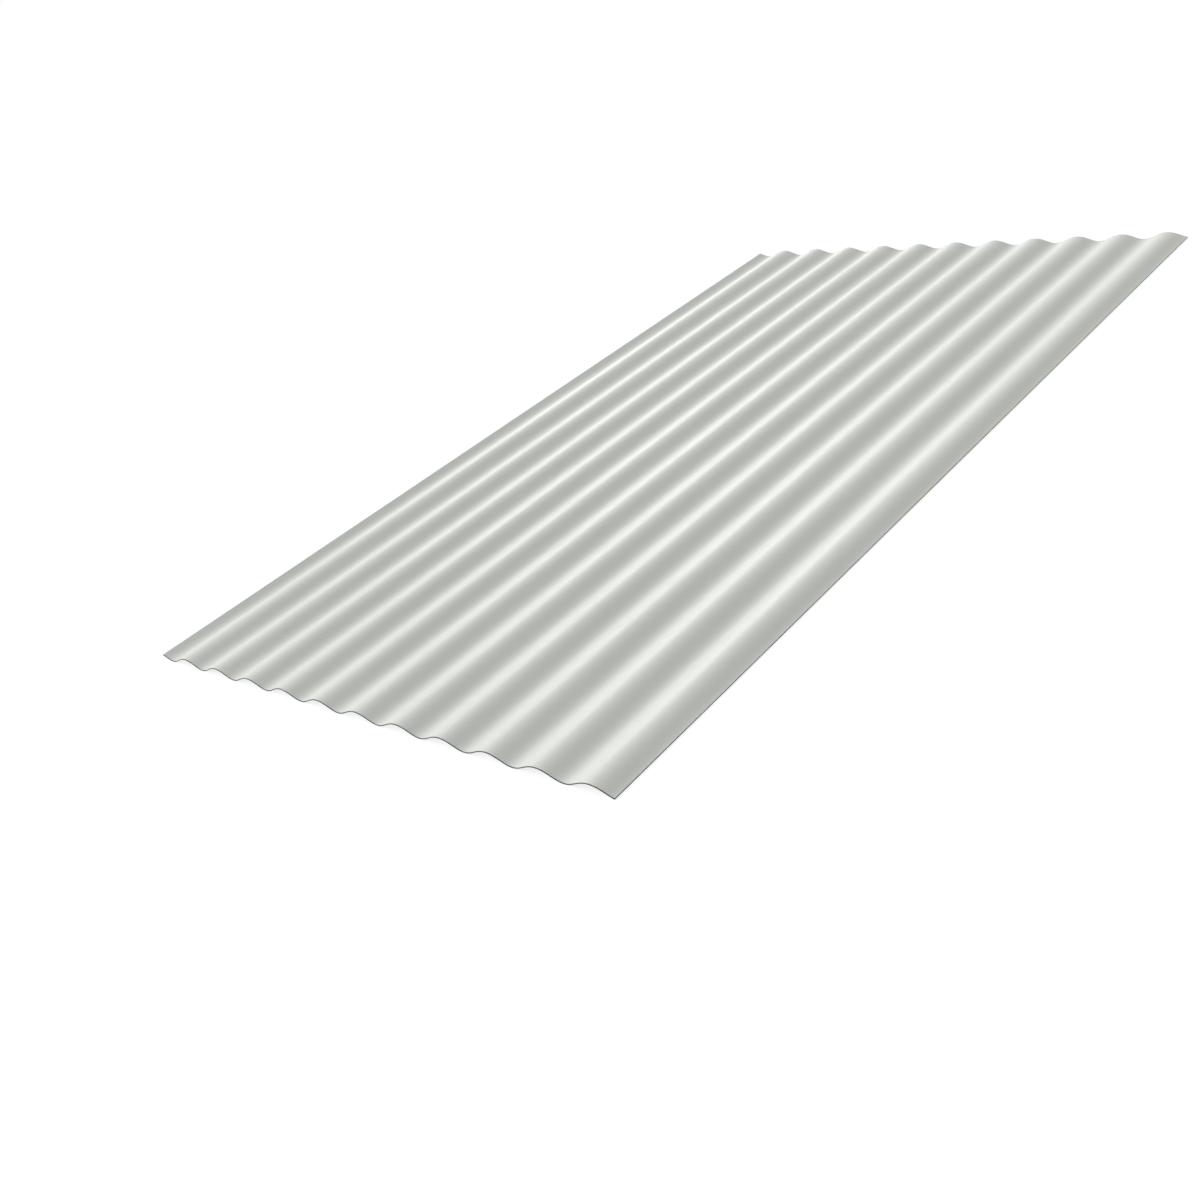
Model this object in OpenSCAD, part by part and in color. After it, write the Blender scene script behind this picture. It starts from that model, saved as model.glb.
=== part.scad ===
// Corrugated metal sheet: one length of thin coated steel, rolled into even waves.
// It lies flat on the undersides of its valleys.
// X runs across the waves, Y along them and Z up.
// The origin is on the floor, in the middle of the sheet.

/* [Sheet] */
// Length of the sheet, along the waves
sheet_length = 1500; // [600:10:6000]
// Thickness of the coated steel
sheet_thickness = 1; // [0.35:0.05:1.5]

/* [Waves] */
// Distance from one crest to the next
wave_pitch = 76.2; // [50:0.1:130]
// Height of the waves, from valley to crest on the same face
wave_depth = 10; // [6:0.1:24]
// How much fuller the crests are than the valleys, as a share of half the wave depth
crest_fullness_share = 0.04; // [0:0.01:0.1]
// Number of crests across the sheet
crest_count = 11; // [3:1:16]

/* [Side edges] */
// Width of the side edge that turns up beyond the first valley
upturned_edge = 22; // [8:0.5:37]
// Width of the side edge that turns down beyond the last crest
downturned_edge = 32.5; // [8:0.5:37]

/* [Hidden] */
sheet_colour = [0.86, 0.87, 0.85];

// One wave is a full turn of the wave angle, which is 0 at the first crest
full_turn = 360;
strips_per_wave = 32;
strip_angle = full_turn / strips_per_wave;

// Each crest and each valley has a level strip, and these strips lie one wave depth apart
amplitude = wave_depth / 2 / cos(strip_angle / 2);

// Wave angles of the two side edges
first_angle = -full_turn / 2 - full_turn * upturned_edge / wave_pitch;
last_angle = full_turn * (crest_count - 1) + full_turn * downturned_edge / wave_pitch;

// The strip at a side edge is never narrower than this share of a whole strip
least_strip_share = 0.25;
least_strip = least_strip_share * strip_angle;

// Bend lines between the strips, as wave angles from one side edge to the other
first_bend = ceil((first_angle + least_strip) / strip_angle - 1 / 2);
last_bend = floor((last_angle - least_strip) / strip_angle - 1 / 2);
bends = [for (bend = [first_bend:last_bend]) (bend + 1 / 2) * strip_angle];
stations = concat([first_angle], bends, [last_angle]);

// Height of the sheet's middle line, rounder over the crests than in the valleys
function middle_height(angle) = amplitude * (cos(angle) - crest_fullness_share * cos(2 * angle));

// Angle of the sheet's middle line to the floor
function slope_angle(angle) =
    let (steepness = sin(angle) - 2 * crest_fullness_share * sin(2 * angle))
    atan(-2 * PI * amplitude / wave_pitch * steepness);

// Point of the upper face (side 1) or the lower face (side -1), square to the middle line
function face_point(angle, side) =
    let (
        middle = [wave_pitch * angle / full_turn, middle_height(angle)],
        slope = slope_angle(angle)
    )
    middle + side * sheet_thickness / 2 * [-sin(slope), cos(slope)];

upper_face = [for (angle = stations) face_point(angle, 1)];
lower_face = [for (i = [len(stations) - 1:-1:0]) face_point(stations[i], -1)];
section = concat(upper_face, lower_face);

// Middle of the section's width and the level of its lowest strips
across = [for (point = section) point.x];
heights = [for (point = section) point.y];
section_middle = (min(across) + max(across)) / 2;
section_bottom = min(heights);

// The rolled sheet: its wave section, drawn out along its length
module corrugated_sheet() {
    color(sheet_colour)
        rotate([90, 0, 0])
            linear_extrude(sheet_length, center = true)
                translate([-section_middle, -section_bottom])
                    polygon(section);
}

corrugated_sheet();
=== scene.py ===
"""Looks of a corrugated metal sheet: its painted faces, cut edges, floor, light and camera."""

import math

import bpy
import numpy as np
from mathutils import Matrix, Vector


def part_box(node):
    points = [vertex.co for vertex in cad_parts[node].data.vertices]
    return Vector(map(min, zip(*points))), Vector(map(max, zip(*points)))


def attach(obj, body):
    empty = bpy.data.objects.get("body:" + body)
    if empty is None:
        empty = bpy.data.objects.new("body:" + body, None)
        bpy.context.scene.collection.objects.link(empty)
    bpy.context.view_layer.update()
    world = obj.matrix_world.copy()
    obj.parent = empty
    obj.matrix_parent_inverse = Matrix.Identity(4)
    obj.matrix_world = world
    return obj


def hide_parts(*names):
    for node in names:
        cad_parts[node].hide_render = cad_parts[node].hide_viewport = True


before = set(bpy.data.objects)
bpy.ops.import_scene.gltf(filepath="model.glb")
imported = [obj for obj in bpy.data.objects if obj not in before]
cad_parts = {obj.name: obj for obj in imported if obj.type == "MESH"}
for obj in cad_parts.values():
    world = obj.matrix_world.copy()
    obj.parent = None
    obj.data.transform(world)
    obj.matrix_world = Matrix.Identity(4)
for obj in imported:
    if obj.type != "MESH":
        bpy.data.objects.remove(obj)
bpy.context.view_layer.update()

# The sheet, in metres
SHEET_NODE = "corrugated_sheet"
WAVE_PITCH = 0.0762
CREST_FULLNESS_SHARE = 0.04
SHEET_THICKNESS = 0.001
UPTURNED_EDGE = 0.022
DOWNTURNED_EDGE = 0.0325

# Cut edges, in metres: their chamfer, and the near black strips of bare steel beside it at the ends and
# at the sides, which widen the cut edges' dark line of painted shade
CUT_CHAMFER = 0.0002
BARE_AND_SHADE_END = 0.0007
BARE_AND_SHADE_SIDE = 0.0003

# One wave is a full turn of the wave angle, which is 0 at the first crest
FULL_TURN = 2 * math.pi

# Fineness of the sheet's mesh
STEPS_PER_WAVE = 48
ROWS_ALONG = 24
SHARP_ANGLE = math.radians(30)

# Faces between an edge of the sheet and its coat: one of the chamfer and one of the bare strip that
# paints edge shade
RIM_FACES = 2

# Material numbers in the sheet's mesh
PAINT, BACKING, CUT_STEEL = range(3)

# Colours, as linear shares of the light that they send back
PAINT_COLOUR = (0.60, 0.62, 0.58)
BACKING_COLOUR = (0.50, 0.51, 0.50)
# Cut steel is near black, darker than bare steel is, so that it also paints the shade along the cut
# edges as a dark line
CUT_STEEL_AND_EDGE_SHADE_COLOUR = (0.045, 0.045, 0.047)
FLOOR_COLOUR = (0.95, 0.95, 0.95)
WHITE = (1.0, 1.0, 1.0)

# How much lighter and darker than its colour each material gets in places
PAINT_SHADING_SHARE = 0.01
BACKING_SHADING_SHARE = 0.03
CUT_STEEL_SHADING_SHARE = 0.2

# Noise of each material, in features to the metre along X, Y and Z
PAINT_CLOUDS = (4, 4, 4)
PAINT_STREAKS = (160, 3, 160)
PAINT_GRAIN = (450, 450, 450)
BACKING_CLOUDS = (9, 9, 9)
BACKING_STREAKS = (120, 3, 120)
BACKING_GRAIN = (600, 600, 600)
CUT_STEEL_SCORES = (1500, 1500, 1500)

# Finer layers that are added to the noise of the coats and of the cut steel
COAT_DETAIL = 2.0
CUT_STEEL_DETAIL = 3.0

# Noise values lie around a half, and nearly all of them between these two
NOISE_LOW = 0.3
NOISE_HIGH = 0.7

# Height of the grain, in metres
PAINT_GRAIN_HEIGHT = 0.000006
BACKING_GRAIN_HEIGHT = 0.000008

# Least and greatest roughness
PAINT_ROUGHNESS = (0.45, 0.49)
BACKING_ROUGHNESS = (0.48, 0.60)
CUT_STEEL_ROUGHNESS = (0.4, 0.6)

# Gloss of the satin paint, where a full gloss is 0.5
PAINT_GLOSS = 0.35

# Azimuths count from +X towards +Y and elevations up from the floor, both in degrees
QUARTER_TURN = 90

# Camera, in metres and degrees: it looks down the sheet from beyond its near right corner
CAMERA_PLACE = (1.2794, -1.4257, 0.7865)
CAMERA_AZIMUTH = -40.865
CAMERA_ELEVATION = 27.698
CAMERA_ROLL = -17.949
CAMERA_LENS_MM = 40.647
SENSOR_MM = 36.0

# Light: two lamps far away, with the directions that they shine from and their breadths in degrees
KEY_LAMP = {"azimuth": 200, "elevation": 45, "breadth": 55, "strength": 3.36}
SHEEN_LAMP = {"azimuth": 140, "elevation": 10, "breadth": 20, "strength": 0.31}

# Surroundings: how strongly they light the object, and how strongly they glow where they are seen
AMBIENT_STRENGTH = 0.225
WHITE_STRENGTH = 1.0

# Floor: its side in metres, how strongly it glows where it is seen, and that glow's share in its look
FLOOR_SIDE = 120.0
FLOOR_GLOW = 1.03
FLOOR_GLOW_SHARE = 0.8


def section_angles():
    """Wave angles across the sheet, from the up-turned to the down-turned side edge."""
    low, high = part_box(SHEET_NODE)
    angle_per_metre = FULL_TURN / WAVE_PITCH
    whole_waves = math.floor((high.x - low.x - UPTURNED_EDGE) / WAVE_PITCH - 1 / 2)
    first = -FULL_TURN / 2 - angle_per_metre * UPTURNED_EDGE
    last = FULL_TURN * whole_waves + angle_per_metre * DOWNTURNED_EDGE
    chamfer = angle_per_metre * CUT_CHAMFER
    # The bare strips at the sides are near black and paint a line of edge shade
    bare = angle_per_metre * BARE_AND_SHADE_SIDE
    left_edge = first + np.array([0, chamfer])
    right_edge = last - np.array([chamfer, 0])
    steps = round((last - first) / FULL_TURN * STEPS_PER_WAVE)
    coat = np.linspace(left_edge[1] + bare, right_edge[0] - bare, steps + 1)
    return np.concatenate([left_edge, coat, right_edge])


def sheet_faces():
    """Upper and lower face of the sheet, as grids of points: rows along it and columns across it."""
    low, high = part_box(SHEET_NODE)
    angles = section_angles()
    depth = high.z - low.z - SHEET_THICKNESS
    steepness = np.sin(angles) - 2 * CREST_FULLNESS_SHARE * np.sin(2 * angles)
    slopes = np.arctan(-math.pi * depth / WAVE_PITCH * steepness)
    # The cut face of the left edge leans, so its middle lies a little inside the box
    lean = SHEET_THICKNESS / 2 * abs(math.sin(slopes[0]))
    across = low.x + lean + WAVE_PITCH * (angles - angles[0]) / FULL_TURN
    wave = np.cos(angles) + CREST_FULLNESS_SHARE * (1 - np.cos(2 * angles))
    heights = (low.z + high.z) / 2 + depth / 2 * wave
    near_end = low.y + np.array([0, CUT_CHAMFER])
    far_end = high.y - np.array([CUT_CHAMFER, 0])
    # The bare strips at the ends are near black and paint a line of edge shade
    coat = np.linspace(near_end[1] + BARE_AND_SHADE_END, far_end[0] - BARE_AND_SHADE_END, ROWS_ALONG + 1)
    along = np.concatenate([near_end, coat, far_end])
    half = np.full((len(along), len(angles)), SHEET_THICKNESS / 2 - CUT_CHAMFER)
    half[1:-1, 1:-1] = SHEET_THICKNESS / 2
    grids = []
    for side in (1, -1):
        x = across - side * half * np.sin(slopes)
        y = np.broadcast_to(along[:, None], half.shape)
        z = heights + side * half * np.cos(slopes)
        grids.append(np.stack([x, y, z], axis=-1))
    return grids


def quads(a, b, c, d):
    """Faces from four equally long lists of corner numbers."""
    return np.stack([np.ravel(corner) for corner in (a, b, c, d)], axis=-1)


def coated(rows, columns, number):
    """Material numbers of one face of the sheet: its coat, and near black bare steel on the rim around
    it, which paints shade along the edges.
    """
    numbers = np.full((rows - 1, columns - 1), CUT_STEEL)
    numbers[RIM_FACES:-RIM_FACES, RIM_FACES:-RIM_FACES] = number
    return numbers.ravel()


def make_sheet():
    """The rolled sheet: painted above, with a backing coat below and near black bare steel round its rim
    that paints the shade of its cut edges.
    """
    upper, lower = sheet_faces()
    rows, columns = upper.shape[:2]
    top = np.arange(rows * columns).reshape(rows, columns)
    under = top + rows * columns
    top_faces = quads(top[:-1, :-1], top[:-1, 1:], top[1:, 1:], top[1:, :-1])
    under_faces = quads(under[:-1, :-1], under[1:, :-1], under[1:, 1:], under[:-1, 1:])
    rim_faces = np.concatenate([
        quads(under[0, :-1], under[0, 1:], top[0, 1:], top[0, :-1]),
        quads(under[-1, 1:], under[-1, :-1], top[-1, :-1], top[-1, 1:]),
        quads(under[1:, 0], under[:-1, 0], top[:-1, 0], top[1:, 0]),
        quads(under[:-1, -1], under[1:, -1], top[1:, -1], top[:-1, -1]),
    ])
    points = np.concatenate([upper.reshape(-1, 3), lower.reshape(-1, 3)])
    faces = np.concatenate([top_faces, under_faces, rim_faces])
    numbers = np.concatenate([
        coated(rows, columns, PAINT),
        coated(rows, columns, BACKING),
        np.full(len(rim_faces), CUT_STEEL),
    ])
    mesh = bpy.data.meshes.new("rolled_sheet")
    mesh.from_pydata(points.tolist(), [], faces.tolist())
    materials = {
        PAINT: paint_material(),
        BACKING: backing_material(),
        CUT_STEEL: cut_steel_and_edge_shade_material(),
    }
    for number in sorted(materials):
        mesh.materials.append(materials[number])
    mesh.polygons.foreach_set("material_index", numbers.astype(np.int32))
    mesh.polygons.foreach_set("use_smooth", np.ones(len(faces), dtype=bool))
    mesh.set_sharp_from_angle(angle=SHARP_ANGLE)
    mesh.update()
    sheet = bpy.data.objects.new("rolled_sheet", mesh)
    bpy.context.scene.collection.objects.link(sheet)
    return sheet


def new_material(name):
    """A node material with a Principled shader, its node tree and that shader."""
    material = bpy.data.materials.new(name)
    material.use_nodes = True
    tree = material.node_tree
    return material, tree, tree.nodes["Principled BSDF"]


def noise(tree, features, detail=COAT_DETAIL):
    """Noise in the sheet's own coordinates, with so many features to the metre along X, Y and Z."""
    place = tree.nodes.new("ShaderNodeTexCoord")
    mapping = tree.nodes.new("ShaderNodeMapping")
    mapping.inputs["Scale"].default_value = features
    texture = tree.nodes.new("ShaderNodeTexNoise")
    texture.inputs["Scale"].default_value = 1.0
    texture.inputs["Detail"].default_value = detail
    tree.links.new(place.outputs["Object"], mapping.inputs["Vector"])
    tree.links.new(mapping.outputs["Vector"], texture.inputs["Vector"])
    return texture.outputs["Fac"]


def spread(tree, value, low, high):
    """The noise value spread evenly between low and high."""
    node = tree.nodes.new("ShaderNodeMapRange")
    node.inputs["From Min"].default_value = NOISE_LOW
    node.inputs["From Max"].default_value = NOISE_HIGH
    node.inputs["To Min"].default_value = low
    node.inputs["To Max"].default_value = high
    tree.links.new(value, node.inputs["Value"])
    return node.outputs["Result"]


def shaded(tree, value, colour, share):
    """The colour, lighter and darker by that share as the noise value goes up and down."""
    ramp = tree.nodes.new("ShaderNodeValToRGB")
    darkest, lightest = ramp.color_ramp.elements
    darkest.color = (*[c * (1 - share) for c in colour], 1)
    lightest.color = (*[c * (1 + share) for c in colour], 1)
    tree.links.new(spread(tree, value, 0, 1), ramp.inputs["Fac"])
    return ramp.outputs["Color"]


def bump(tree, value, height):
    """A surface that the noise value raises by up to that height, in metres."""
    node = tree.nodes.new("ShaderNodeBump")
    node.inputs["Strength"].default_value = 1.0
    node.inputs["Distance"].default_value = height
    tree.links.new(value, node.inputs["Height"])
    return node.outputs["Normal"]


def paint_material():
    """Satin paint on the upper face: nearly even, with the fine grain of a sprayed and baked coat."""
    material, tree, shader = new_material("satin_paint")
    colour = shaded(tree, noise(tree, PAINT_CLOUDS), PAINT_COLOUR, PAINT_SHADING_SHARE)
    roughness = spread(tree, noise(tree, PAINT_STREAKS), *PAINT_ROUGHNESS)
    normal = bump(tree, noise(tree, PAINT_GRAIN), PAINT_GRAIN_HEIGHT)
    shader.inputs["Specular IOR Level"].default_value = PAINT_GLOSS
    tree.links.new(colour, shader.inputs["Base Color"])
    tree.links.new(roughness, shader.inputs["Roughness"])
    tree.links.new(normal, shader.inputs["Normal"])
    return material


def backing_material():
    """Thin wash coat on the underside, flatter and a little darker than the paint."""
    material, tree, shader = new_material("backing_coat")
    colour = shaded(tree, noise(tree, BACKING_CLOUDS), BACKING_COLOUR, BACKING_SHADING_SHARE)
    roughness = spread(tree, noise(tree, BACKING_STREAKS), *BACKING_ROUGHNESS)
    normal = bump(tree, noise(tree, BACKING_GRAIN), BACKING_GRAIN_HEIGHT)
    tree.links.new(colour, shader.inputs["Base Color"])
    tree.links.new(roughness, shader.inputs["Roughness"])
    tree.links.new(normal, shader.inputs["Normal"])
    return material


def cut_steel_and_edge_shade_material():
    """Bare steel where the sheet was cut, dull and finely scored, and near black so that it paints the
    shade of the cut edges.
    """
    material, tree, shader = new_material("cut_steel_and_edge_shade")
    scores = noise(tree, CUT_STEEL_SCORES, detail=CUT_STEEL_DETAIL)
    colour = shaded(tree, scores, CUT_STEEL_AND_EDGE_SHADE_COLOUR, CUT_STEEL_SHADING_SHARE)
    roughness = spread(tree, scores, *CUT_STEEL_ROUGHNESS)
    shader.inputs["Metallic"].default_value = 1.0
    tree.links.new(colour, shader.inputs["Base Color"])
    tree.links.new(roughness, shader.inputs["Roughness"])
    return material


def seen_directly(tree):
    """1 for a ray from the camera or off a mirror or glass, and 0 for light that falls on the object."""
    path = tree.nodes.new("ShaderNodeLightPath")
    either = path.outputs["Is Camera Ray"]
    for name in ("Is Glossy Ray", "Is Transmission Ray"):
        larger = tree.nodes.new("ShaderNodeMath")
        larger.operation = "MAXIMUM"
        tree.links.new(either, larger.inputs[0])
        tree.links.new(path.outputs[name], larger.inputs[1])
        either = larger.outputs["Value"]
    return either


def make_floor():
    """A plain white floor that keeps the sheet's shadow."""
    half = FLOOR_SIDE / 2
    corners = [(-half, -half, 0), (half, -half, 0), (half, half, 0), (-half, half, 0)]
    mesh = bpy.data.meshes.new("floor")
    mesh.from_pydata(corners, [], [(0, 1, 2, 3)])
    material, tree, shader = new_material("white_floor")
    shader.inputs["Base Color"].default_value = (*FLOOR_COLOUR, 1)
    shader.inputs["Roughness"].default_value = 1.0
    shader.inputs["Specular IOR Level"].default_value = 0.0
    glow = tree.nodes.new("ShaderNodeEmission")
    glow.inputs["Strength"].default_value = FLOOR_GLOW
    share = tree.nodes.new("ShaderNodeMath")
    share.operation = "MULTIPLY"
    share.inputs[1].default_value = FLOOR_GLOW_SHARE
    mixed = tree.nodes.new("ShaderNodeMixShader")
    tree.links.new(seen_directly(tree), share.inputs[0])
    tree.links.new(share.outputs["Value"], mixed.inputs[0])
    tree.links.new(shader.outputs["BSDF"], mixed.inputs[1])
    tree.links.new(glow.outputs["Emission"], mixed.inputs[2])
    tree.links.new(mixed.outputs["Shader"], tree.nodes["Material Output"].inputs["Surface"])
    mesh.materials.append(material)
    floor = bpy.data.objects.new("floor", mesh)
    bpy.context.scene.collection.objects.link(floor)


def make_world():
    """White where it is seen, and an even light on the object."""
    world = bpy.data.worlds.new("studio")
    bpy.context.scene.world = world
    world.use_nodes = True
    tree = world.node_tree
    background = tree.nodes["Background"]
    background.inputs["Color"].default_value = (*WHITE, 1)
    strength = tree.nodes.new("ShaderNodeMapRange")
    strength.inputs["To Min"].default_value = AMBIENT_STRENGTH
    strength.inputs["To Max"].default_value = WHITE_STRENGTH
    tree.links.new(seen_directly(tree), strength.inputs["Value"])
    tree.links.new(strength.outputs["Result"], background.inputs["Strength"])


def aimed_from(azimuth, elevation):
    """The turn of a lamp or camera that looks down from that direction."""
    turned = Matrix.Rotation(math.radians(azimuth + QUARTER_TURN), 4, "Z")
    tilted = Matrix.Rotation(math.radians(QUARTER_TURN - elevation), 4, "X")
    return turned @ tilted


def make_lamp(name, azimuth, elevation, breadth, strength):
    """A lamp so far away that it lights the whole sheet alike."""
    lamp = bpy.data.lights.new(name, "SUN")
    lamp.energy = strength
    lamp.angle = math.radians(breadth)
    light = bpy.data.objects.new(name, lamp)
    light.matrix_world = aimed_from(azimuth, elevation)
    bpy.context.scene.collection.objects.link(light)


def make_camera():
    """The photograph's camera."""
    camera = bpy.data.cameras.new("camera")
    camera.sensor_width = SENSOR_MM
    camera.lens = CAMERA_LENS_MM
    camera.dof.use_dof = False
    view = bpy.data.objects.new("camera", camera)
    aimed = aimed_from(CAMERA_AZIMUTH, CAMERA_ELEVATION)
    rolled = Matrix.Rotation(math.radians(CAMERA_ROLL), 4, "Z")
    view.matrix_world = Matrix.Translation(CAMERA_PLACE) @ aimed @ rolled
    bpy.context.scene.collection.objects.link(view)
    bpy.context.scene.camera = view


bpy.context.scene.view_settings.view_transform = "Standard"
make_camera()
make_world()
make_lamp("key", **KEY_LAMP)
make_lamp("sheen", **SHEEN_LAMP)
make_floor()

rolled_sheet = make_sheet()
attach(rolled_sheet, "root")
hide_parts(SHEET_NODE)
